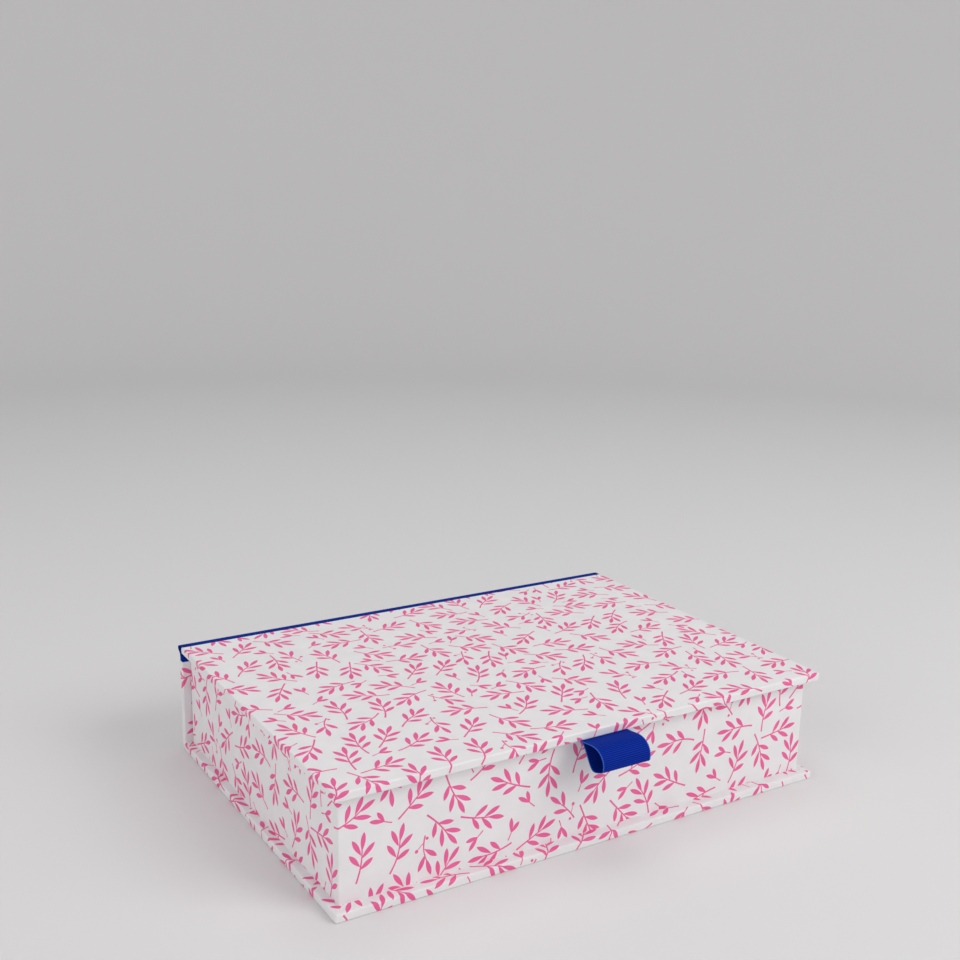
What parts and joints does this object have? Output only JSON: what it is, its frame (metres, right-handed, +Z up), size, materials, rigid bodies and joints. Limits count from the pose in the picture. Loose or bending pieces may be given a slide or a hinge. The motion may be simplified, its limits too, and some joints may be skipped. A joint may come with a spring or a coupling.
{
  "type": "box file",
  "caption": "Rectangular board box file for A4 sheets: paper-covered tray in a hinged case, flat lid that overhangs, cloth hinge along the back and a ribbon loop pull at the front.",
  "frame": {"origin": "middle of the underside of the case, on the surface that the box stands on (the ribbon and the fold of the hinge cloth are not counted)", "axes": "+X to the right along the front, +Y from the front towards the spine, +Z up"},
  "size_m": [0.33, 0.2565, 0.0712],
  "materials": {
    "printed_paper": "uncoated white paper, hot pink sprig print",
    "lining_paper": "plain off-white, matt",
    "greyboard": "raw, matt",
    "book_cloth": "plain weave, royal blue",
    "grosgrain": "ribbed ribbon, soft sheen, royal blue"
  },
  "bodies": {
    "tray": {"base_board": "greyboard", "spine_board": "greyboard", "case_paper": "printed_paper", "tray_floor_board": "greyboard", "tray_front_board": "greyboard", "tray_back_board": "greyboard", "tray_left_board": "greyboard", "tray_right_board": "greyboard", "tray_wrap_paper": "printed_paper", "tray_wall_lining": "lining_paper", "tray_floor_lining": "lining_paper", "hinge_cloth": "book_cloth", "hinge_liner": "book_cloth"},
    "lid": {"lid_board": "greyboard", "lid_paper": "printed_paper", "lid_lining": "lining_paper", "ribbon_tails": "grosgrain"},
    "ribbon": {"ribbon_loop": "grosgrain"}
  },
  "joints": [
    {"name": "lid_hinge", "type": "hinge", "parent": "tray", "child": "lid", "pos_m": [0, 0.11655, 0.0646], "axis": [-1, 0, 0], "range_deg": [0, 178], "deforming": ["hinge_cloth", "hinge_liner"]},
    {"name": "ribbon_flex", "type": "hinge", "parent": "lid", "child": "ribbon", "pos_m": [0, -0.1175, 0.06582], "axis": [-1, 0, 0], "range_deg": [-20, 60], "stiffness_Nm_per_rad": 0.005}
  ]
}
